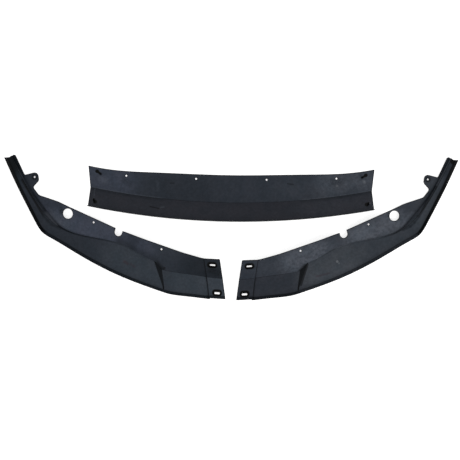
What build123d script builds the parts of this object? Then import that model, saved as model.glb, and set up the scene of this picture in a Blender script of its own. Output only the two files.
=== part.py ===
from build123d import *
from math import cos, radians, sin, tan
import os

# Front splitter lip in three moulded sections, laid out inside up as they come to rest. Every section
# is a bent sheet: a mounting flange at the back, a face or shelf in front of it and an upturned lip
# along the front edge. The wings end in a set-in tongue that nests inside the centre section.

# Moulded sheet
wall = 2.5
bend_flat = 2.0
lip_edge = 1.2

# Bends that the three sections share
face_bend = 38.0
lip_bend = 54.0
lip_length = 12.0

# Centre section, from the middle of its crease
face_length = 60.0
crease_arc_radius = 1885.0
centre_half_length = 365.5
centre_end_flare = 6.0
centre_flange_middle = 72.0
centre_flange_quarter = 76.3
centre_flange_outer = 81.1
centre_flange_end = 92.0
centre_quarter_place = 190.0
centre_outer_place = 300.0
screw_hole = 5.0
outer_screw_place = (273.0, 67.0)
inner_screw_place = (91.5, 61.5)

# Joint of the centre section and a wing: bosses that stand in slots
joint_clearance = 0.4
joint_step = 3.0
boss_diameter = 4.6
boss_pilot = 2.4
boss_height = 7.0
boss_from_end = 19.0
boss_up_flange = 39.0
boss_up_face = 41.0
slot_clearance = 0.3
slot_travel = 9.0
flange_slot_shift = 2.2
face_slot_shift = 4.2
recess_margin = 4.0
recess_depth = 1.5

# Wing section, from its crease at the joint end. A wing lies on its face, with its flange tipped up.
# A station is an upright cut: its front point, the way it runs back, and the sizes along it.
wing_tilt = 30.0
flange_reach = 90.0
joint_front, joint_way, joint_face = (10.4, -62.1), 97.8, 57.5
tongue_front, tongue_way, tongue_face = (-32.7, -59.1), 97.0, 58.6
middle_front, middle_way, middle_face = (-86.5, -52.7), 103.0, 62.3
fin_front, fin_way, fin_face = (-147.0, -42.5), 108.0, 67.2
fin_flange_slope = 27.0
fin_shelf = 83.2
fin_foot = (-155.5, 18.5)
fin_step = 0.5
fin_pass = 161.0
crease_drop = 3.0

# Wing stations outside the fin: the height of the lip's foot, the width and height of the shelf, the
# width of the drop to the crease, the crease's height and the slope of the flange
shelf_cuts = [
    dict(front=(-256.1, -2.2), way=87.0, foot=11.5, shelf=80.2, height=10.8, drop=3.0, crease=9.4, slope=22.0),
    dict(front=(-372.7, 58.3), way=76.0, foot=13.5, shelf=47.3, height=9.5, drop=3.1, crease=6.0, slope=18.0),
    dict(front=(-437.0, 97.0), way=72.0, foot=16.0, shelf=36.4, height=13.0, drop=3.6, crease=4.5, slope=15.0),
    dict(front=(-463.0, 115.3), way=64.0, foot=18.5, shelf=39.4, height=17.0, drop=5.5, crease=3.0, slope=12.0),
    dict(front=(-478.0, 138.5), way=57.0, foot=18.5, shelf=33.4, height=17.5, drop=6.0, crease=2.5, slope=11.0),
    dict(front=(-500.3, 180.9), way=46.0, foot=18.0, shelf=24.7, height=17.0, drop=3.6, crease=3.0, slope=10.0),
    dict(front=(-528.2, 236.1), way=34.0, foot=17.0, shelf=20.6, height=16.0, drop=2.0, crease=4.5, slope=8.0),
    dict(front=(-563.3, 313.1), way=28.0, foot=16.0, shelf=17.0, height=15.0, drop=2.0, crease=6.0, slope=8.0),
]

# Wing outline, from the arm's tip round the back to the joint end, and the round of each corner
tip_front = (-590.0, 300.8)
tip_lip_end = (-547.3, 308.7)
tip_flange_end = (-539.4, 316.0)
tip_corner = (-534.2, 314.0)
tip_round = 1.0
tab_root, tab_root_round = (-511.0, 263.2), 4.0
tab_top = (-476.0, 271.5)
tab_bottom = (-472.9, 248.4)
tab_round = 10.0
tab_neck, tab_neck_round = (-489.5, 231.5), 6.0
arm_root, arm_root_round = (-474.0, 211.2), 14.0
back_turn, back_turn_round = (-421.2, 193.5), 60.0
back_middle = (-262.0, 120.4)
back_inner = (-100.0, 62.7)
back_round = 200.0
back_joint, back_joint_round = (-48.0, 47.6), 60.0
joint_back, joint_back_round = (-4.5, 45.9), 3.0
clear_of_joint = (18.0, -90.0)
clear_of_fin = (-170.0, -90.0)
clear_of_arm = (-500.0, 90.0)

# Wing holes, notch and tab
access_hole = 26.2
access_hole_place = (-396.7, 162.6)
wing_screw_places = ((-330.0, 140.0), (-154.0, 71.0))
notch_width = 19.5
notch_depth = 17.0
notch_place = (-264.0, 121.2)
notch_way = -110.0
tab_hole_place = (-484.5, 257.5)
tab_ring = 13.0
tab_ring_height = 1.5

# Places of the sections as they lie on the floor
centre_place = (2.7, 70.2)
centre_turn = -0.8
left_wing_place = (-21.5, -120.3)
right_wing_place = (26.1, -123.2)
right_wing_turn = -0.4

far = 700.0

# Bends of a section's line that have a flat on their outside
face_bends = (1, 2)
lip_foot_bend = (1,)


def direction(degrees):
    return Vector(cos(radians(degrees)), sin(radians(degrees)))


def set_over(line, distance):
    """The line moved to its right by the distance, with mitred corners."""
    points = [Vector(*point) for point in line]
    sides = []
    for a, b in zip(points, points[1:]):
        way = (b - a).normalized()
        sides.append(Vector(way.Y, -way.X))
    before = [sides[0], *sides]
    after = [*sides, sides[-1]]
    return [p + (m + n) * (distance / (1 + m.dot(n))) for p, m, n in zip(points, before, after)]


def sheet_corners(inside, thickness=wall, lip_first=True, flats=face_bends):
    """Corners of a bent sheet's section, along its inside surface and back along the outside.

    The lip tapers to its edge, which is the first point of the line or the last. The outside of the bends
    named by their place in the line is cut flat.
    """
    inner = [Vector(*point) for point in inside]
    outer = set_over(inside, thickness)
    edge = 0 if lip_first else -1
    outer[edge] = inner[edge] + (outer[edge] - inner[edge]).normalized() * (thickness - wall + lip_edge)
    eased = []
    for place, corner in enumerate(outer):
        if place in flats:
            ways = [(outer[next_to] - corner).normalized() for next_to in (place - 1, place + 1)]
            eased += [corner + way * bend_flat for way in ways]
        else:
            eased.append(corner)
    return [*inner, *reversed(eased)]


# Centre section
def arc_depth(x):
    """How far the crease has swung back at a distance from the middle."""
    return crease_arc_radius - (crease_arc_radius**2 - x**2) ** 0.5


def centre_strip():
    """Flange, face and lip turned about the axis of the crease's arc."""
    face_angle, lip_angle = radians(face_bend), radians(face_bend + lip_bend)
    foot = Vector(face_length * cos(face_angle), wall + face_length * sin(face_angle))
    top = foot + Vector(lip_length * cos(lip_angle), lip_length * sin(lip_angle))
    inside = [(-2 * centre_flange_end, wall), (0, wall), foot, top]
    outline = Polyline(*sheet_corners(inside, lip_first=False), close=True)
    section = Plane(origin=(0, 0, 0), x_dir=(0, -1, 0), z_dir=(-1, 0, 0)) * make_face(outline)
    arc_axis = Axis((0, crease_arc_radius, 0), (0, 0, 1))
    arc = 60.0
    return revolve(section, arc_axis, arc).rotate(arc_axis, -arc / 2)


def centre_outline():
    back_half = centre_half_length + centre_end_flare
    crease_end = arc_depth(centre_half_length)
    half = [
        (centre_quarter_place, centre_flange_quarter),
        (centre_outer_place, centre_flange_outer),
        (back_half, centre_flange_end),
    ]
    other_half = [(-x, y) for x, y in reversed(half)]
    back = Spline(*other_half, (0, centre_flange_middle), *half)
    ends = Polyline(
        (back_half, centre_flange_end),
        (centre_half_length, crease_end),
        (centre_half_length, -face_length),
        (-centre_half_length, -face_length),
        (-centre_half_length, crease_end),
        (-back_half, centre_flange_end),
    )
    return make_face(back + ends)


def boss_seats(side):
    """Planes on which the two bosses of an end stand, on the flange and on the face."""
    x = centre_half_length - boss_from_end
    crease = Vector(side * x, arc_depth(x), wall)
    forward = (crease - Vector(0, crease_arc_radius, wall)).normalized()
    along = forward.cross(Vector(0, 0, 1))
    up_face = forward * cos(radians(face_bend)) + Vector(0, 0, sin(radians(face_bend)))
    return (
        Plane(crease - forward * boss_up_flange, x_dir=along, z_dir=(0, 0, 1)),
        Plane(crease + up_face * boss_up_face, x_dir=along, z_dir=along.cross(up_face)),
    )


def make_centre():
    centre = centre_strip() & extrude(centre_outline(), 2 * face_length)
    on_seat = (Align.CENTER, Align.CENTER, Align.MIN)
    post = Pos(0, 0, -wall / 2) * Cylinder(boss_diameter / 2, boss_height + wall / 2, align=on_seat)
    pilot = Cylinder(boss_pilot / 2, far, align=on_seat)
    for side in (-1, 1):
        for seat in boss_seats(side):
            centre = centre + seat * post - seat * pilot
    for x, y in (outer_screw_place, inner_screw_place):
        for side in (-1, 1):
            centre -= Pos(side * x, y) * Cylinder(screw_hole / 2, far)
    return centre


# Wing section
def skin(sections, start_way=None, end_way=None):
    """Solid over sections of like corners: a smooth rail through each corner, straight between rails.

    The rails can be given the way that they set out or arrive.
    """
    steps = [
        sum((b - a).length for a, b in zip(one, other)) for one, other in zip(sections, sections[1:])
    ]
    places = [sum(steps[:i]) / sum(steps) for i in range(len(sections))]
    rails = []
    for corner in zip(*sections):
        ways = [start_way or corner[1] - corner[0], end_way or corner[-1] - corner[-2]]
        rails.append(Edge.make_spline(list(corner), tangents=ways, parameters=places))
    sides = [Face.make_surface_from_curves(a, b) for a, b in zip(rails, [*rails[1:], rails[0]])]
    caps = [Face(Wire.make_polygon(section)) for section in (sections[0], sections[-1])]
    return Solid(Shell([*sides, *caps]))


def station_point(front, way, along, height=0.0):
    return Vector(*front) + direction(way) * along + Vector(0, 0, height)


def stand(front, way, corners):
    """Corners of a section stood upright at a station."""
    return [station_point(front, way, corner.X, corner.Y) for corner in corners]


def wing_lip(foot_height):
    """Inside of the upturned lip, from its edge to its foot."""
    slope = radians(face_bend - wing_tilt + lip_bend)
    out, rise = lip_length * cos(slope), lip_length * sin(slope)
    return [(wall, foot_height + rise), (wall + out, foot_height)]


def flange_back(crease, crease_height, slope):
    """Back end of a flange that climbs from the crease."""
    return (crease + flange_reach, crease_height + flange_reach * tan(radians(slope)))


def face_line(face, flange_slope):
    """Inside line between fin and joint: lip, face, crease and flange."""
    foot = wing_lip(0)[1][0]
    foot_height = wall + (face - foot) * tan(radians(face_bend - wing_tilt))
    return [*wing_lip(foot_height), (face, wall), flange_back(face, wall, flange_slope)]


def shelf_line(foot, shelf, height, drop, crease, slope):
    """Inside line from fin to arm: lip, shelf, the drop to the crease, and flange."""
    back = flange_back(shelf + drop, crease, slope)
    return [*wing_lip(foot), (shelf, height), (shelf + drop, crease), back]


def shelf_stations():
    """Fronts, ways and inside lines from the fin out to the tip of the arm."""
    foot = face_line(fin_face, fin_flange_slope)[1][1]
    crease = wall + (fin_shelf + crease_drop - fin_face) * tan(radians(fin_flange_slope))
    at_fin = shelf_line(foot, fin_shelf, crease + fin_step, crease_drop, crease, fin_flange_slope)
    stations = [(fin_front, fin_way, at_fin)]
    for cut in shelf_cuts:
        sizes = {name: value for name, value in cut.items() if name not in ("front", "way")}
        stations.append((cut["front"], cut["way"], shelf_line(**sizes)))
    return stations


def inner_sheet():
    """Face and flange between the tongue and the fin."""
    middle_slope = (wing_tilt + fin_flange_slope) / 2
    stations = [
        (tongue_front, tongue_way, face_line(tongue_face, wing_tilt)),
        (middle_front, middle_way, face_line(middle_face, middle_slope)),
        (fin_front, fin_way, face_line(fin_face, fin_flange_slope)),
    ]
    sections = [stand(front, way, sheet_corners(line)) for front, way, line in stations]
    return skin(sections, end_way=direction(fin_pass))


def outer_sheet():
    """Shelf, arm and flange from the fin outwards."""
    sections = []
    for front, way, line in shelf_stations():
        sections.append(stand(front, way, sheet_corners(line, flats=lip_foot_bend)))
    return skin(sections, start_way=direction(fin_pass))


def tongue_station(from_step):
    """Front, way and face length of the tongue at a distance from the step."""
    start, end = Vector(*tongue_front), Vector(*joint_front)
    share = from_step / (end - start).length
    front = start + (end - start) * share
    way = tongue_way + (joint_way - tongue_way) * share
    return (front.X, front.Y), way, tongue_face + (joint_face - tongue_face) * share


def tongue():
    """End of the wing, stepped to the inside by a wall so that it nests in the centre section."""
    set_in = wall + joint_clearance

    def cut(station, thickness):
        front, way, face = station
        line = [(point.X, point.Y) for point in set_over(face_line(face, wing_tilt), -set_in)]
        return stand(front, way, sheet_corners(line, thickness))

    start, stepped = tongue_station(0), tongue_station(joint_step)
    end = (joint_front, joint_way, joint_face)
    step = skin([cut(start, wall + set_in), cut(stepped, wall + set_in)])
    return step, skin([cut(stepped, wall), cut(end, wall)])


def fin_corners():
    """Top of the shelf at the fin, the lip's foot there, and the foot of the fin at the crease."""
    shelf, crease = shelf_stations()[0][2][2:4]
    lip_foot = face_line(fin_face, fin_flange_slope)[1]
    front_end = lip_foot[0] + wall
    return (
        station_point(fin_front, fin_way, *crease),
        station_point(fin_front, fin_way, front_end, lip_foot[1]),
        Vector(*fin_foot, wall),
    )


def fin_plate():
    """Slanting web that closes the end of the shelf, carried a little into flange and face."""
    top, front, foot = fin_corners()
    middle = (top + front) * 0.5
    carried = foot + (foot - middle).normalized() * wall
    web = Face(Wire.make_polygon([top, front, carried]))
    down = web.normal_at() if web.normal_at().Z < 0 else -web.normal_at()
    return extrude(web, wall, dir=down)


def fin_opening():
    """Room under the fin, cut out of the flange and the face beside it."""
    plan = [Vector(corner.X, corner.Y, -far) for corner in fin_corners()]
    return extrude(Face(Wire.make_polygon(plan)), 2 * far, dir=(0, 0, 1))


def wing_outline():
    corners = [
        (tip_front, 0),
        (tip_lip_end, tip_round),
        (tip_flange_end, tip_round),
        (tip_corner, tip_round),
        (tab_root, tab_root_round),
        (tab_top, tab_round),
        (tab_bottom, tab_round),
        (tab_neck, tab_neck_round),
        (arm_root, arm_root_round),
        (back_turn, back_turn_round),
        (back_middle, back_round),
        (back_inner, back_round),
        (back_joint, back_joint_round),
        (joint_back, joint_back_round),
        (clear_of_joint, 0),
        (clear_of_fin, 0),
        (clear_of_arm, 0),
    ]
    points, radii = zip(*corners)
    return make_face(FilletPolyline(*points, radius=list(radii), close=True))


def slot_seats():
    """Planes on the inside of the tongue, on the flange and on the face, where the slots lie."""
    along = (Vector(*joint_front) - Vector(*tongue_front)).normalized()
    slots = (
        (flange_slot_shift, wing_tilt, boss_up_flange),
        (face_slot_shift, 180 - face_bend + wing_tilt, boss_up_face),
    )
    seats = []
    for shift, slope, up in slots:
        front, way, face = tongue_station(boss_from_end + shift)
        up_way = direction(way) * cos(radians(slope)) + Vector(0, 0, sin(radians(slope)))
        normal = up_way.cross(along).normalized()
        normal = normal if normal.Z > 0 else -normal
        on_sheet = station_point(front, way, face, wall) + up_way * up
        seats.append(Plane(on_sheet + normal * (wall + joint_clearance), x_dir=along, z_dir=normal))
    return seats


def top_at(body, place):
    """Height of the body's upper surface at a place."""
    probe = Pos(*place) * Cylinder(wall / 10, far)
    return (body & probe).bounding_box().max.Z


def slot_cut():
    """Slot for a boss in the middle of a shallow recess, from the inside surface down."""
    height = boss_diameter + 2 * slot_clearance
    length = height + slot_travel
    recess = SlotOverall(length + 2 * recess_margin, height + 2 * recess_margin)
    through = extrude(SlotOverall(length, height), 2 * wall, both=True)
    return Pos(0, 0, -recess_depth) * extrude(recess, 2 * wall) + through


def notch_cut():
    """Round-ended notch that runs in from the back edge."""
    straight = notch_depth - notch_width / 2
    shape = Box(2 * straight, notch_width, far) + Pos(straight, 0) * Cylinder(notch_width / 2, far)
    return Pos(*notch_place) * Rot(0, 0, notch_way) * shape


def make_wing():
    step, end = tongue()
    wing = inner_sheet() - fin_opening() + outer_sheet() + step + end + fin_plate()
    wing = wing & extrude(wing_outline(), far, both=True)
    for seat in slot_seats():
        wing = wing - seat * slot_cut()
    ring_height = wall / 2 + tab_ring_height
    ring = Cylinder(tab_ring / 2, ring_height, align=(Align.CENTER, Align.CENTER, Align.MIN))
    wing = wing + Pos(*tab_hole_place, top_at(wing, tab_hole_place) - wall / 2) * ring
    for place in (tab_hole_place, *wing_screw_places):
        wing = wing - Pos(*place) * Cylinder(screw_hole / 2, far)
    return wing - Pos(*access_hole_place) * Cylinder(access_hole / 2, far) - notch_cut()


# The three sections on the floor, about the middle of the ground that they cover
def on_floor(section, place, turn=0.0):
    return Pos(*place, -section.bounding_box().min.Z) * Rot(0, 0, turn) * section


wing = make_wing()
sections = {
    "centre_section": on_floor(make_centre(), centre_place, centre_turn),
    "left_wing_section": on_floor(wing, left_wing_place),
    "right_wing_section": on_floor(mirror(wing, Plane.YZ), right_wing_place, right_wing_turn),
}
middle = Compound(list(sections.values())).bounding_box().center()
os.makedirs("parts", exist_ok=True)
for name, section in sections.items():
    sections[name] = Pos(-middle.X, -middle.Y) * section
    export_step(sections[name], f"parts/{name}.step")
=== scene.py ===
import bpy
from math import atan, atan2, dist
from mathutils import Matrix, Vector

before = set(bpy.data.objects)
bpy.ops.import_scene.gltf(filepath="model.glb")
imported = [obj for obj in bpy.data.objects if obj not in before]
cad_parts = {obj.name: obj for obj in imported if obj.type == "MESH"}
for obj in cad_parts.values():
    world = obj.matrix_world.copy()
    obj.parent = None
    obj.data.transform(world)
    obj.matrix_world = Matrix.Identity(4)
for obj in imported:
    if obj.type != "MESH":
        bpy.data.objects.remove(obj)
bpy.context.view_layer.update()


# Centre section: the long strip under the middle of a bumper, with a flat flange, a rising face and an
# upturned lip. It is injection moulded in black plastic with a fine satin grain. Dust has paled the flange
# towards its ends, and painted shadow makes its four hollow screw bosses black from above.
def new_group(name, inputs, outputs):
    """A shader node group with its named sockets, and the nodes that stand for them."""
    group = bpy.data.node_groups.new(name, "ShaderNodeTree")
    for label, kind in inputs:
        group.interface.new_socket(name=label, in_out="INPUT", socket_type=kind)
    for label, kind in outputs:
        group.interface.new_socket(name=label, in_out="OUTPUT", socket_type=kind)
    return group, group.nodes.new("NodeGroupInput"), group.nodes.new("NodeGroupOutput")


def join(tree, source, socket):
    """Links a socket to what it takes, or sets it if that is a plain value."""
    if isinstance(source, bpy.types.NodeSocket):
        tree.links.new(source, socket)
    else:
        socket.default_value = source


def maths(tree, operation, first, second=0.0):
    node = tree.nodes.new("ShaderNodeMath")
    node.operation = operation
    join(tree, first, node.inputs[0])
    join(tree, second, node.inputs[1])
    return node.outputs["Value"]


def noise(tree, vector, scale, detail, roughness):
    node = tree.nodes.new("ShaderNodeTexNoise")
    node.inputs["Detail"].default_value = detail
    node.inputs["Roughness"].default_value = roughness
    join(tree, scale, node.inputs["Scale"])
    join(tree, vector, node.inputs["Vector"])
    return node.outputs["Fac"]


def ranged(tree, value, low, high, to_low, to_high):
    """A value carried from one range to another, eased at both ends and held beyond them."""
    node = tree.nodes.new("ShaderNodeMapRange")
    node.interpolation_type = "SMOOTHSTEP"
    join(tree, value, node.inputs["Value"])
    for label, limit in (("From Min", low), ("From Max", high), ("To Min", to_low), ("To Max", to_high)):
        join(tree, limit, node.inputs[label])
    return node.outputs["Result"]


def mixed(tree, share, first, second, blend="MIX"):
    node = tree.nodes.new("ShaderNodeMix")
    node.data_type = "RGBA"
    node.blend_type = blend
    join(tree, share, node.inputs["Factor"])
    join(tree, first, node.inputs["A"])
    join(tree, second, node.inputs["B"])
    return node.outputs["Result"]


# Moulded surface: a fine grain for the bump, a mottle of a few millimetres and clouds of a few
# centimetres. Upper faces that are steep or lean to one side get painted shade. The edge reach is how far
# in
# from a cut edge a face darkens: just under the wall's thickness, and less where it leans.
grain_scale = 1100.0
mottle_scale = 150.0
cloud_scale = 30.0
steep_facing = (0.47, 0.65)
steep_painted_shade = 0.4
sideways_facing = (0.5, 0.64)
sideways_painted_shade = 0.9
upper_facing = (0.3, 0.46)
edge_depth = 0.0024
least_edge_depth = 0.0008
surface, surface_in, surface_out = new_group(
    "moulded_surface",
    [("Place", "NodeSocketVector")],
    [(label, "NodeSocketFloat") for label in ("Grain", "Mottle", "Cloud", "Painted Shade", "Edge Reach")],
)
place = surface_in.outputs["Place"]
grain = noise(surface, place, grain_scale, detail=2.0, roughness=0.5)
mottle = noise(surface, place, mottle_scale, detail=4.0, roughness=0.7)
cloud = noise(surface, place, cloud_scale, detail=2.0, roughness=0.5)
facing = surface.nodes.new("ShaderNodeSeparateXYZ")
join(surface, surface.nodes.new("ShaderNodeNewGeometry").outputs["Normal"], facing.inputs["Vector"])
sideways = maths(surface, "ABSOLUTE", facing.outputs["X"])
upwards = facing.outputs["Z"]
# Painted shade on upper faces that are steep or lean to one side
painted_shade = maths(
    surface,
    "MAXIMUM",
    ranged(surface, upwards, *steep_facing, steep_painted_shade, 0.0),
    ranged(surface, sideways, *sideways_facing, 0.0, sideways_painted_shade),
)
painted_shade = maths(surface, "MULTIPLY", painted_shade, ranged(surface, upwards, *upper_facing, 0.0, 1.0))
edge_reach = maths(surface, "MULTIPLY", maths(surface, "ABSOLUTE", upwards), edge_depth)
edge_reach = maths(surface, "MAXIMUM", edge_reach, least_edge_depth)
join(surface, grain, surface_out.inputs["Grain"])
join(surface, mottle, surface_out.inputs["Mottle"])
join(surface, cloud, surface_out.inputs["Cloud"])
join(surface, painted_shade, surface_out.inputs["Painted Shade"])
join(surface, edge_reach, surface_out.inputs["Edge Reach"])

# Patch on the upper side, drawn out along a run, soft at its edge and broken up by a noise. It keeps to
# the faces that look more than a limit along a given way, such as the flange.
bare_noise = (0.36, 0.62)
side_blend = 0.03
upper_blend = 0.2
patch, patch_in, patch_out = new_group(
    "soft_patch",
    [
        ("Place", "NodeSocketVector"),
        ("Centre", "NodeSocketVector"),
        ("Turn", "NodeSocketFloat"),
        ("Half Run", "NodeSocketFloat"),
        ("Radius", "NodeSocketFloat"),
        ("Core", "NodeSocketFloat"),
        ("Strength", "NodeSocketFloat"),
        ("Raggedness", "NodeSocketFloat"),
        ("Rag Scale", "NodeSocketFloat"),
        ("Facing", "NodeSocketVector"),
        ("Limit", "NodeSocketFloat"),
    ],
    [("Mask", "NodeSocketFloat")],
)
given = patch_in.outputs
from_centre = patch.nodes.new("ShaderNodeVectorMath")
from_centre.operation = "SUBTRACT"
join(patch, given["Place"], from_centre.inputs[0])
join(patch, given["Centre"], from_centre.inputs[1])
turned = patch.nodes.new("ShaderNodeVectorRotate")
turned.rotation_type = "Z_AXIS"
join(patch, from_centre.outputs["Vector"], turned.inputs["Vector"])
join(patch, maths(patch, "MULTIPLY", given["Turn"], -1.0), turned.inputs["Angle"])
offset = patch.nodes.new("ShaderNodeSeparateXYZ")
join(patch, turned.outputs["Vector"], offset.inputs["Vector"])
past_run = maths(patch, "SUBTRACT", maths(patch, "ABSOLUTE", offset.outputs["X"]), given["Half Run"])
along = maths(patch, "POWER", maths(patch, "MAXIMUM", past_run, 0.0), 2.0)
across = maths(patch, "POWER", offset.outputs["Y"], 2.0)
distance = maths(patch, "SQRT", maths(patch, "ADD", along, across))
core = maths(patch, "MULTIPLY", given["Radius"], given["Core"])
inside = ranged(patch, distance, core, given["Radius"], given["Strength"], 0.0)
rags = noise(patch, given["Place"], given["Rag Scale"], detail=4.0, roughness=0.6)
bare = maths(patch, "MULTIPLY", given["Raggedness"], ranged(patch, rags, *bare_noise, 1.0, 0.0))
normal = patch.nodes.new("ShaderNodeNewGeometry").outputs["Normal"]
lean = patch.nodes.new("ShaderNodeVectorMath")
lean.operation = "DOT_PRODUCT"
join(patch, normal, lean.inputs[0])
join(patch, given["Facing"], lean.inputs[1])
past_limit = maths(patch, "SUBTRACT", lean.outputs["Value"], given["Limit"])
facing = patch.nodes.new("ShaderNodeSeparateXYZ")
join(patch, normal, facing.inputs["Vector"])
mask = maths(patch, "MULTIPLY", inside, ranged(patch, past_limit, -side_blend, side_blend, 0.0, 1.0))
mask = maths(patch, "MULTIPLY", mask, maths(patch, "SUBTRACT", 1.0, bare))
mask = maths(patch, "MULTIPLY", mask, ranged(patch, facing.outputs["Z"], 0.0, upper_blend, 0.0, 1.0))
join(patch, mask, patch_out.inputs["Mask"])

# A side is a direction, and how far along it a face has to look to belong to that side
upper_side = ((0.0, 0.0, 1.0), 0.1)
centre_flange = ((0.0, -1.0, 0.0), -0.3)
centre_face = ((0.0, 1.0, 0.0), 0.3)


def stroke(start, end, radius, colour, strength=1.0, core=0.3, ragged=0.0, rag_scale=60.0, side=upper_side):
    """A patch from one place to another, on the faces of one side. The core is the share of its radius that
    has the full strength, and ragged is the share of it that the noise may take away."""
    return dict(
        colour=colour,
        values={
            "Centre": ((start[0] + end[0]) / 2, (start[1] + end[1]) / 2, 0.0),
            "Turn": atan2(end[1] - start[1], end[0] - start[0]),
            "Half Run": dist(start, end) / 2,
            "Radius": radius,
            "Core": core,
            "Strength": strength,
            "Raggedness": ragged,
            "Rag Scale": rag_scale,
            "Facing": side[0],
            "Limit": side[1],
        },
    )


def dot(at, radius, colour, strength=1.0, core=0.6):
    """A round patch."""
    return stroke(at, at, radius, colour, strength, core)


def strokes_along(run, *finish, **options):
    """Like strokes from each place of a run to the next."""
    return [stroke(start, end, *finish, **options) for start, end in zip(run, run[1:])]


plastic_black = (0.0255, 0.0300, 0.0385)
# Painted shade: the black of steep and sideways upper faces, and of the painted shade strokes
painted_shade_black = (0.003, 0.0038, 0.0045)
cold_cloud = (0.90, 0.93, 0.95)
warm_cloud = (1.09, 1.06, 1.06)
noise_span = (0.3, 0.7)
mottle_tones = (0.86, 1.14)
satin_roughness = (0.42, 0.54)
satin_gloss = 0.08
fold_reach = 0.010
fold_openness = (0.35, 0.9)
fold_tone = 0.45
edge_openness = (0.75, 0.99)
edge_tone = 0.05
grain_strength = 0.2
grain_height = 0.0002


def moulded_plastic(name, strokes):
    """Black satin plastic with its grain, mottle and patches, with painted shade on steep and sideways
    faces and in folds, and darker at cut edges."""
    material = bpy.data.materials.new(name)
    material.use_nodes = True
    tree = material.node_tree
    shader = tree.nodes["Principled BSDF"]
    shader.inputs["Specular IOR Level"].default_value = satin_gloss
    position = tree.nodes.new("ShaderNodeTexCoord").outputs["Object"]
    detail = tree.nodes.new("ShaderNodeGroup")
    detail.node_tree = surface
    join(tree, position, detail.inputs["Place"])
    tone = (*plastic_black, 1.0)
    for row in strokes:
        spot = tree.nodes.new("ShaderNodeGroup")
        spot.node_tree = patch
        join(tree, position, spot.inputs["Place"])
        for label, value in row["values"].items():
            spot.inputs[label].default_value = value
        tone = mixed(tree, spot.outputs["Mask"], tone, (*row["colour"], 1.0))
    # Painted shade on the steep and sideways upper faces
    tone = mixed(tree, detail.outputs["Painted Shade"], tone, (*painted_shade_black, 1.0))
    mottling = ranged(tree, detail.outputs["Mottle"], *noise_span, *mottle_tones)
    tone = mixed(tree, 1.0, tone, mottling, "MULTIPLY")
    warmth = ranged(tree, detail.outputs["Cloud"], *noise_span, 0.0, 1.0)
    clouding = mixed(tree, warmth, (*cold_cloud, 1.0), (*warm_cloud, 1.0))
    tone = mixed(tree, 1.0, tone, clouding, "MULTIPLY")
    # Painted shade in the folds, where the plastic's own faces stand close
    fold = tree.nodes.new("ShaderNodeAmbientOcclusion")
    fold.only_local = True
    fold.inputs["Distance"].default_value = fold_reach
    fold_shade = ranged(tree, fold.outputs["AO"], *fold_openness, fold_tone, 1.0)
    tone = mixed(tree, 1.0, tone, fold_shade, "MULTIPLY")
    edge = tree.nodes.new("ShaderNodeAmbientOcclusion")
    edge.only_local = True
    edge.inside = True
    join(tree, detail.outputs["Edge Reach"], edge.inputs["Distance"])
    edge_shade = ranged(tree, edge.outputs["AO"], *edge_openness, edge_tone, 1.0)
    tone = mixed(tree, 1.0, tone, edge_shade, "MULTIPLY")
    join(tree, tone, shader.inputs["Base Color"])
    roughness = ranged(tree, detail.outputs["Mottle"], *noise_span, *satin_roughness)
    join(tree, roughness, shader.inputs["Roughness"])
    bump = tree.nodes.new("ShaderNodeBump")
    bump.inputs["Strength"].default_value = grain_strength
    bump.inputs["Distance"].default_value = grain_height
    join(tree, detail.outputs["Grain"], bump.inputs["Height"])
    join(tree, bump.outputs["Normal"], shader.inputs["Normal"])
    return material


def finish_section(node, material):
    """Gives a section's solid its one material."""
    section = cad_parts[node]
    section.data.materials.clear()
    section.data.materials.append(material)


# Cleaner plastic in some patches, and painted shade along creases, walls and the left tongue's flange in
# others
clean_and_shade_black = (0.0105, 0.0135, 0.0175)
# Painted shade: the darker, warmer black of the centre's face and the right tongue's face
shaded_warm_black = (0.0265, 0.0272, 0.0336)
# Dark marks, and painted shadow and shade at the bosses, slots, fin and the arm's end
shade_and_mark_black = (0.0005, 0.0005, 0.0005)
# Pale dust, and also painted light on walls and painted highlights by the crease and a boss
pale_dust_and_painted_light = (0.085, 0.093, 0.11)
lilac_dust = (0.050, 0.057, 0.078)
# Pale nicks and specks, and painted highlights by the right bosses
scratch_and_highlight_grey = (0.2, 0.205, 0.215)
centre_strokes = [
    # Painted shade: the face's darker, warmer black, with thin dust at its right end
    stroke((-0.36, 0.05), (0.36, 0.045), 0.09, shaded_warm_black, 0.85, core=0.6, side=centre_face),
    stroke((0.22, 0.05), (0.36, 0.07), 0.09, pale_dust_and_painted_light, 0.1, core=0.1, ragged=0.3, side=centre_face),
    # Dust on both ends of the flange, and a cleaner part left of its middle
    stroke((-0.3618, 0.1435), (-0.29, 0.1175), 0.075, lilac_dust, 0.75,
           core=0.1, ragged=0.2, side=centre_flange),
    stroke((0.2563, 0.1123), (0.355, 0.1227), 0.06, pale_dust_and_painted_light, 0.42,
           core=0.1, ragged=0.4, rag_scale=110.0, side=centre_flange),
    stroke((0.14, 0.0968), (0.2563, 0.1045), 0.05, pale_dust_and_painted_light, 0.1,
           core=0.1, ragged=0.4, rag_scale=110.0, side=centre_flange),
    stroke((-0.16, 0.102), (-0.08, 0.095), 0.07, clean_and_shade_black, 0.3, core=0.1, side=centre_flange),
    # Small marks: a pale streak, three dark ones and two pale ones, and a painted highlight by a left boss
    stroke((-0.1911, 0.116), (-0.1911, 0.096), 0.007, pale_dust_and_painted_light, 0.12, core=0.0),
    stroke((-0.1579, 0.1144), (-0.1488, 0.1144), 0.0025, shade_and_mark_black, 0.5),
    stroke((0.146, 0.1129), (0.1603, 0.1113), 0.0028, shade_and_mark_black, 0.5),
    stroke((-0.2093, 0.0534), (-0.186, 0.0479), 0.0022, shade_and_mark_black, 0.7),
    stroke((-0.1823, 0.0506), (-0.1735, 0.0522), 0.003, pale_dust_and_painted_light, 0.3),
    stroke((-0.3384, 0.1279), (-0.328, 0.1201), 0.014, pale_dust_and_painted_light, 0.25, core=0.0),
    dot((0.2745, 0.1077), 0.004, scratch_and_highlight_grey, 0.25),
]
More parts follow.
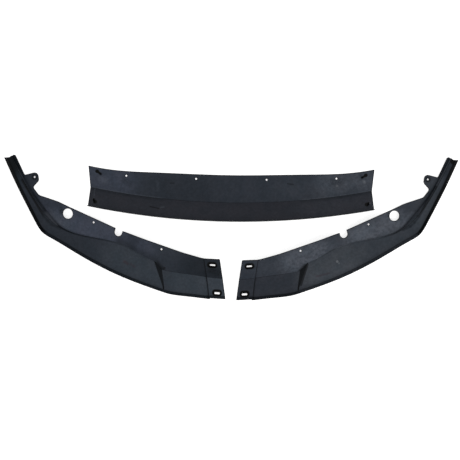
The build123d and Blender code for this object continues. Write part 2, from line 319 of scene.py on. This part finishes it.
# Painted highlight on the flange and painted shade on the face along the crease, both sides of the middle
crease_runs = [
    [(-0.3606, 0.1027), (-0.27, 0.0862), (-0.18, 0.0742)],
    [(0.1838, 0.0696), (0.2826, 0.0804), (0.3606, 0.0924)],
]
for run in crease_runs:
    centre_strokes += strokes_along(run, 0.0045, pale_dust_and_painted_light, 0.35,
                                    core=0.1, ragged=0.3, side=centre_flange)
    centre_strokes += strokes_along(run, 0.01, clean_and_shade_black, 0.6, core=0.0, side=centre_face)
centre_strokes += [
    # A rubbed line at the left end, darker flange in front of the outer screw holes, and painted highlights
    # by the bosses
    stroke((-0.354, 0.101), (-0.354, 0.066), 0.0025, pale_dust_and_painted_light, 0.35,
           core=0.2, ragged=1.0, rag_scale=500.0),
    stroke((-0.2763, 0.121), (-0.266, 0.115), 0.014, clean_and_shade_black, 0.5,
           core=0.1, ragged=0.9, rag_scale=400.0, side=centre_flange),
    stroke((0.266, 0.117), (0.282, 0.119), 0.018, clean_and_shade_black, 0.7,
           core=0.1, ragged=0.9, rag_scale=400.0, side=centre_flange),
    stroke((0.3436, 0.1205), (0.3456, 0.1165), 0.006, scratch_and_highlight_grey, 0.25,
           core=0.1, ragged=0.5, rag_scale=200.0),
    dot((0.3573, 0.0615), 0.004, scratch_and_highlight_grey, 0.2, core=0.1),
]
# The four bosses, painted black, each with a painted shadow out to its far end
boss_shadows = [
    [(-0.339, 0.1383), (-0.3485, 0.1456)],
    [(-0.3527, 0.0705), (-0.3492, 0.065)],
    [(0.3396, 0.1288), (0.3493, 0.1349)],
    [(0.3513, 0.0605), (0.3474, 0.058)],
]
for boss, shadow in boss_shadows:
    centre_strokes.append(stroke(boss, shadow, 0.004, shade_and_mark_black, 1.0, core=0.4))
    centre_strokes.append(dot(shadow, 0.006, shade_and_mark_black))
finish_section("centre_section", moulded_plastic("centre_plastic", centre_strokes))


# Left wing section: flange, shelf and rim in one moulding of the same plastic, with an arm that runs up
# beside the wheel and a set-in tongue that nests in the centre section. Lilac dust lies on its flange, and
# two brown scuffs are on its shelf.
wing_flange = ((0.0, -1.0, 0.0), 0.07)
wing_shelf = ((0.0, 1.0, 0.0), -0.07)
level_side = ((0.0, 0.0, 1.0), 0.8)
left_lip = ((0.79, 0.4, 0.46), 0.8)
left_wall = ((0.3, 0.2, -1.0), -0.04)
# Teal dust, and painted light on the left tongue's face
teal_dust_and_painted_light = (0.039, 0.047, 0.057)
# Painted shade at the arm's end
teal_shade_black = (0.006, 0.0125, 0.0175)
scuff_brown = (0.034, 0.027, 0.033)
left_strokes = [
    # Lilac dust on the flange, and painted shade on it in front of the notch and towards the tongue
    stroke((-0.47, 0.05), (-0.235, -0.054), 0.07, lilac_dust, 0.65,
           core=0.1, ragged=0.2, side=wing_flange),
    stroke((-0.4684, 0.0336), (-0.33, -0.025), 0.05, lilac_dust, 0.8,
           core=0.1, ragged=0.3, rag_scale=90.0, side=wing_flange),
    stroke((-0.2619, -0.0576), (-0.2, -0.0873), 0.02, clean_and_shade_black, 0.5, core=0.1, side=wing_flange),
    stroke((-0.29, -0.038), (-0.2592, -0.0511), 0.02, clean_and_shade_black, 0.55, core=0.1, side=wing_flange),
    stroke((-0.26, -0.026), (-0.246, -0.034), 0.018, clean_and_shade_black, 0.3, core=0.1, side=wing_flange),
    stroke((-0.335, -0.02), (-0.32, -0.026), 0.025, clean_and_shade_black, 0.12, core=0.1, side=wing_flange),
    stroke((-0.0823, -0.1042), (-0.0292, -0.1155), 0.085, clean_and_shade_black, 0.8, core=0.1, side=wing_flange),
    # Teal dust and painted light on the tongue's face, and teal dust on the shelf, which is cleaner towards
    # the arm
    stroke((-0.12, -0.142), (-0.0267, -0.1573), 0.07, teal_dust_and_painted_light, 0.85, core=0.3, side=wing_shelf),
    stroke((-0.06, -0.15), (-0.03, -0.155), 0.04, pale_dust_and_painted_light, 0.08, core=0.1, side=wing_shelf),
    stroke((-0.29, -0.0802), (-0.2073, -0.1235), 0.075, teal_dust_and_painted_light, 0.65, core=0.1, side=wing_shelf),
    stroke((-0.5, 0.04), (-0.4083, -0.0285), 0.08, clean_and_shade_black, 0.25, core=0.1, side=wing_shelf),
    # The arm: painted shade at its end and inside its lip, dust and painted light on its wall, foot and
    # flange
    stroke((-0.5746, 0.1679), (-0.56, 0.135), 0.045, teal_shade_black, 0.65, core=0.2),
    stroke((-0.545, 0.12), (-0.42, -0.005), 0.045, pale_dust_and_painted_light, 0.2, core=0.5, side=left_wall),
    stroke((-0.472, 0.028), (-0.448, 0.007), 0.022, pale_dust_and_painted_light, 0.7, core=0.3, side=left_wall),
    stroke((-0.466, 0.03), (-0.446, 0.011), 0.011, pale_dust_and_painted_light, 0.35, core=0.3, side=level_side),
    stroke((-0.462, 0.034), (-0.43, 0.008), 0.03, pale_dust_and_painted_light, 0.42,
           core=0.1, ragged=0.7, rag_scale=260.0, side=wing_flange),
    stroke((-0.475, 0.062), (-0.463, 0.055), 0.025, clean_and_shade_black, 0.35, core=0.1, side=wing_flange),
    stroke((-0.5803, 0.1766), (-0.57, 0.153), 0.035, painted_shade_black, 0.85, core=0.3),
    stroke((-0.58, 0.173), (-0.5398, 0.0853), 0.006, painted_shade_black, 1.0, core=0.5, side=left_lip),
    stroke((-0.5398, 0.0853), (-0.483, -0.008), 0.006, painted_shade_black, 1.0, core=0.5, side=left_lip),
    # Two scuffs on the shelf
    stroke((-0.2762, -0.0891), (-0.2684, -0.0938), 0.0065, scuff_brown, 0.9,
           core=0.1, ragged=0.3, rag_scale=300.0),
    stroke((-0.2594, -0.0956), (-0.2503, -0.1023), 0.0055, scuff_brown, 0.6,
           core=0.1, ragged=0.3, rag_scale=300.0),
    # Painted shade at the fin, beside the access hole, in front of the flange's slot and in both slots'
    # recesses
    dot((-0.1739, -0.1056), 0.005, shade_and_mark_black, 0.6, core=0.2),
    stroke((-0.1804, -0.1089), (-0.192, -0.0955), 0.013, painted_shade_black, 0.7, core=0.1, side=wing_flange),
    stroke((-0.4405, 0.046), (-0.4375, 0.039), 0.009, painted_shade_black, 0.8,
           core=0.3, ragged=0.9, rag_scale=260.0, side=wing_flange),
    stroke((-0.0526, -0.112), (-0.034, -0.118), 0.013, painted_shade_black, 0.7,
           core=0.2, ragged=0.9, rag_scale=300.0, side=wing_flange),
    stroke((-0.0546, -0.0966), (-0.045, -0.0972), 0.0095, shade_and_mark_black, core=0.7),
    stroke((-0.0419, -0.1687), (-0.0323, -0.1693), 0.0095, shade_and_mark_black, core=0.7),
    # Painted soft shade and a painted dark line of shade along the arm's wall
    stroke((-0.5136, 0.089), (-0.4828, 0.0429), 0.0055, clean_and_shade_black, 0.45, core=0.2),
    stroke((-0.5402, 0.1218), (-0.4847, 0.0302), 0.0042, painted_shade_black, 0.85, core=0.3),
]
# The painted shade line's bend at the root of the arm
left_bend = [(-0.4847, 0.0302), (-0.4739, 0.0173), (-0.4628, 0.007), (-0.4422, -0.0033)]
left_strokes += strokes_along(left_bend, 0.006, clean_and_shade_black, 0.8, core=0.1, side=level_side)
finish_section("left_wing_section", moulded_plastic("left_wing_plastic", left_strokes))


# Right wing section: the mirror image of the left one, from a mirrored mould, in the same plastic. Pale
# dust clouds its flange, and a brown scuff and a pale nick are on its shelf.
right_lip = ((-0.79, 0.4, 0.46), 0.8)
right_wall = ((-0.3, 0.2, -1.0), -0.04)
right_step = ((0.0, 1.0, 0.0), 0.4)
right_front = ((-0.4, 0.8, 0.46), 0.92)
grey_dust = (0.050, 0.056, 0.063)
right_strokes = [
    # Clouds of pale dust on the flange
    stroke((0.3218, -0.0286), (0.43, 0.017), 0.05, pale_dust_and_painted_light, 0.6,
           core=0.1, ragged=0.6, rag_scale=110.0, side=wing_flange),
    stroke((0.325, -0.017), (0.345, -0.009), 0.028, pale_dust_and_painted_light, 0.5,
           core=0.1, ragged=0.3, rag_scale=110.0, side=wing_flange),
    stroke((0.25, -0.047), (0.27, -0.039), 0.025, pale_dust_and_painted_light, 0.12, core=0.1, side=wing_flange),
    stroke((0.1612, -0.0846), (0.2235, -0.0646), 0.06, pale_dust_and_painted_light, 0.7,
           core=0.1, ragged=0.55, rag_scale=110.0, side=wing_flange),
    stroke((0.0793, -0.1105), (0.1462, -0.0948), 0.05, pale_dust_and_painted_light, 0.12,
           core=0.1, ragged=0.5, rag_scale=110.0, side=wing_flange),
    # Painted shade on the tongue's darker, warmer face, and grey dust on the shelf and the arm
    stroke((0.0303, -0.1547), (0.1651, -0.1445), 0.07, shaded_warm_black, 0.35, core=0.3, side=wing_shelf),
    stroke((0.22, -0.118), (0.285, -0.088), 0.085, grey_dust, 0.6,
           core=0.2, ragged=0.15, side=wing_shelf),
    stroke((0.37, -0.05), (0.5, 0.03), 0.09, grey_dust, 0.3, core=0.2, side=wing_shelf),
    stroke((0.215, -0.137), (0.31, -0.103), 0.03, pale_dust_and_painted_light, 0.12, core=0.1, side=wing_shelf),
    stroke((0.5, 0.03), (0.535, 0.1), 0.05, grey_dust, 0.3, core=0.2),
    # Dust and painted light on the arm's wall and foot and on the front lip and the step; a cleaner arm end
    stroke((0.565, 0.16), (0.42, -0.005), 0.05, pale_dust_and_painted_light, 0.6, core=0.5, side=right_wall),
    stroke((0.48, 0.033), (0.455, 0.009), 0.022, pale_dust_and_painted_light, 0.5, core=0.3, side=right_wall),
    stroke((0.53, 0.112), (0.485, 0.05), 0.02, pale_dust_and_painted_light, 0.5, core=0.3, side=right_wall),
    stroke((0.562, 0.168), (0.55, 0.14), 0.02, clean_and_shade_black, 0.25, core=0.1),
    stroke((0.47, 0.034), (0.452, 0.014), 0.011, pale_dust_and_painted_light, 0.3, core=0.3, side=level_side),
    stroke((0.47, -0.02), (0.2, -0.165), 0.03, pale_dust_and_painted_light, 0.45, core=0.6, side=right_front),
    stroke((0.27, -0.056), (0.377, -0.029), 0.012, pale_dust_and_painted_light, 0.5, core=0.5, side=right_step),
    stroke((0.377, -0.029), (0.44, -0.003), 0.012, pale_dust_and_painted_light, 0.5, core=0.5, side=right_step),
    # A dark mark beside the access hole, and the scuff and the nick on the shelf
    stroke((0.404, 0.036), (0.4045, 0.027), 0.0035, clean_and_shade_black, 0.8, core=0.2, side=wing_flange),
    stroke((0.2203, -0.1274), (0.2527, -0.1191), 0.0045, scuff_brown, 0.65,
           core=0.1, ragged=0.3, rag_scale=300.0),
    dot((0.2741, -0.0886), 0.004, scratch_and_highlight_grey, 0.4),
    dot((0.2785, -0.093), 0.003, scratch_and_highlight_grey, 0.2),
    # Painted shade at the fin, inside the arm's lip, at its end and in both slots' recesses
    stroke((0.179, -0.112), (0.19, -0.099), 0.008, painted_shade_black, 0.7, core=0.1, side=wing_flange),
    stroke((0.197, -0.0963), (0.1802, -0.1493), 0.004, painted_shade_black, 0.8, core=0.4, side=level_side),
    stroke((0.5810, 0.168), (0.5420, 0.0853), 0.006, painted_shade_black, 1.0, core=0.5, side=right_lip),
    stroke((0.5420, 0.0853), (0.4853, -0.008), 0.006, painted_shade_black, 1.0, core=0.5, side=right_lip),
    dot((0.572, 0.169), 0.009, shade_and_mark_black, 0.95, core=0.5),
    stroke((0.0517, -0.0997), (0.0421, -0.1003), 0.0095, shade_and_mark_black, core=0.7),
    stroke((0.0395, -0.1716), (0.0299, -0.1722), 0.0095, shade_and_mark_black, core=0.7),
    # Painted soft shade and a painted dark line of shade along the arm's wall
    stroke((0.5083, 0.074), (0.4798, 0.0276), 0.0055, clean_and_shade_black, 0.2, core=0.2),
    stroke((0.5295, 0.1048), (0.4842, 0.0276), 0.0042, painted_shade_black, 0.65, core=0.3),
]
# The painted shade line's bend at the root of the arm
right_bend = [(0.4836, 0.0276), (0.4723, 0.0122), (0.4618, 0.0019), (0.4445, -0.0071)]
right_strokes += strokes_along(right_bend, 0.0055, clean_and_shade_black, 0.75, core=0.1, side=level_side)
finish_section("right_wing_section", moulded_plastic("right_wing_plastic", right_strokes))


# Floor: a plain white sheet under the sections. What looks at it or mirrors it sees it white, with a
# faint shadow, and the sections themselves are lit by a plain grey one.
floor_reach = 6.0
floor_drop = 0.0005
floor_glow = 0.68
floor_shade = (0.9, 0.87, 0.84, 1.0)
floor_grey = (0.5, 0.5, 0.5, 1.0)


def looked_at(tree, plain, seen):
    """One shader for what looks at a surface or mirrors it, and a plain one for the light that it gives."""
    path = tree.nodes.new("ShaderNodeLightPath").outputs
    looks = maths(tree, "ADD", path["Is Camera Ray"], path["Is Glossy Ray"])
    looks = maths(tree, "ADD", looks, path["Is Transmission Ray"])
    choose = tree.nodes.new("ShaderNodeMixShader")
    join(tree, maths(tree, "MINIMUM", looks, 1.0), choose.inputs[0])
    join(tree, plain, choose.inputs[1])
    join(tree, seen, choose.inputs[2])
    return choose.outputs["Shader"]


floor_mesh = bpy.data.meshes.new("floor")
floor_corners = [(x * floor_reach, y * floor_reach, 0.0) for x, y in ((-1, -1), (1, -1), (1, 1), (-1, 1))]
floor_mesh.from_pydata(floor_corners, [], [(0, 1, 2, 3)])
floor = bpy.data.objects.new("floor", floor_mesh)
floor.location.z = -floor_drop
bpy.context.scene.collection.objects.link(floor)
paper = bpy.data.materials.new("floor_paper")
paper.use_nodes = True
paper.cycles.emission_sampling = "NONE"
paper_tree = paper.node_tree
paper_tree.nodes.clear()
output = paper_tree.nodes.new("ShaderNodeOutputMaterial")
white = paper_tree.nodes.new("ShaderNodeEmission")
white.inputs["Strength"].default_value = floor_glow
shaded = paper_tree.nodes.new("ShaderNodeBsdfDiffuse")
shaded.inputs["Color"].default_value = floor_shade
seen = paper_tree.nodes.new("ShaderNodeAddShader")
join(paper_tree, white.outputs["Emission"], seen.inputs[0])
join(paper_tree, shaded.outputs["BSDF"], seen.inputs[1])
felt = paper_tree.nodes.new("ShaderNodeBsdfDiffuse")
felt.inputs["Color"].default_value = floor_grey
sheet = looked_at(paper_tree, felt.outputs["BSDF"], seen.outputs["Shader"])
join(paper_tree, sheet, output.inputs["Surface"])
floor_mesh.materials.append(paper)


# Studio light: a soft room that is dim along the horizon, bright halfway up and brightest overhead, and
# a little brighter towards the front. A soft panel stands in front on the right, and what looks past
# the floor sees plain white.
room_tint = (0.93, 0.97, 1.0, 1.0)
room_levels = [(0.0, 0.18), (0.4, 0.65), (0.75, 0.7), (1.0, 1.0)]
front_gain = 0.3
panel_width = 1.2
panel_depth = 0.9
panel_watts = 11.0
panel_place = (1.1, -0.8, 1.3)
panel_aim = Vector((0.2, 0.0, 0.0))
world = bpy.data.worlds.new("studio")
world.use_nodes = True
studio_tree = world.node_tree
room = studio_tree.nodes["Background"]
room.inputs["Color"].default_value = room_tint
backdrop = studio_tree.nodes.new("ShaderNodeBackground")
backdrop.inputs["Color"].default_value = (1.0, 1.0, 1.0, 1.0)
way = studio_tree.nodes.new("ShaderNodeSeparateXYZ")
join(studio_tree, studio_tree.nodes.new("ShaderNodeTexCoord").outputs["Generated"], way.inputs["Vector"])
by_height = studio_tree.nodes.new("ShaderNodeValToRGB")
levels = by_height.color_ramp.elements
levels.remove(levels[1])
for height, grey in room_levels:
    level = levels.new(height) if height else levels[0]
    level.color = (grey, grey, grey, 1.0)
join(studio_tree, way.outputs["Z"], by_height.inputs["Fac"])
to_front = maths(studio_tree, "ADD", maths(studio_tree, "MULTIPLY", way.outputs["Y"], -front_gain), 1.0)
room_strength = maths(studio_tree, "MULTIPLY", by_height.outputs["Color"], to_front)
join(studio_tree, room_strength, room.inputs["Strength"])
all_round = looked_at(studio_tree, room.outputs["Background"], backdrop.outputs["Background"])
join(studio_tree, all_round, studio_tree.nodes["World Output"].inputs["Surface"])
bpy.context.scene.world = world
panel_light = bpy.data.lights.new("front_panel", "AREA")
panel_light.shape = "RECTANGLE"
panel_light.size = panel_width
panel_light.size_y = panel_depth
panel_light.energy = panel_watts
panel = bpy.data.objects.new("front_panel", panel_light)
panel.location = panel_place
panel.rotation_euler = (panel_aim - panel.location).to_track_quat("-Z", "Y").to_euler()
bpy.context.scene.collection.objects.link(panel)


# Camera: straight above the sections, as far up as the picture's perspective shows. One pixel of the
# picture is 2.6 mm on the floor.
picture_size = 460
picture_middle = (-0.00336, -0.00713)
metres_per_pixel = 0.0026
camera_height = 2.2
camera_data = bpy.data.cameras.new("camera")
camera_data.sensor_fit = "HORIZONTAL"
camera_data.angle = 2 * atan(picture_size * metres_per_pixel / 2 / camera_height)
camera = bpy.data.objects.new("camera", camera_data)
camera.location = (*picture_middle, camera_height)
bpy.context.scene.collection.objects.link(camera)
bpy.context.scene.camera = camera

bpy.context.scene.view_settings.view_transform = "Standard"
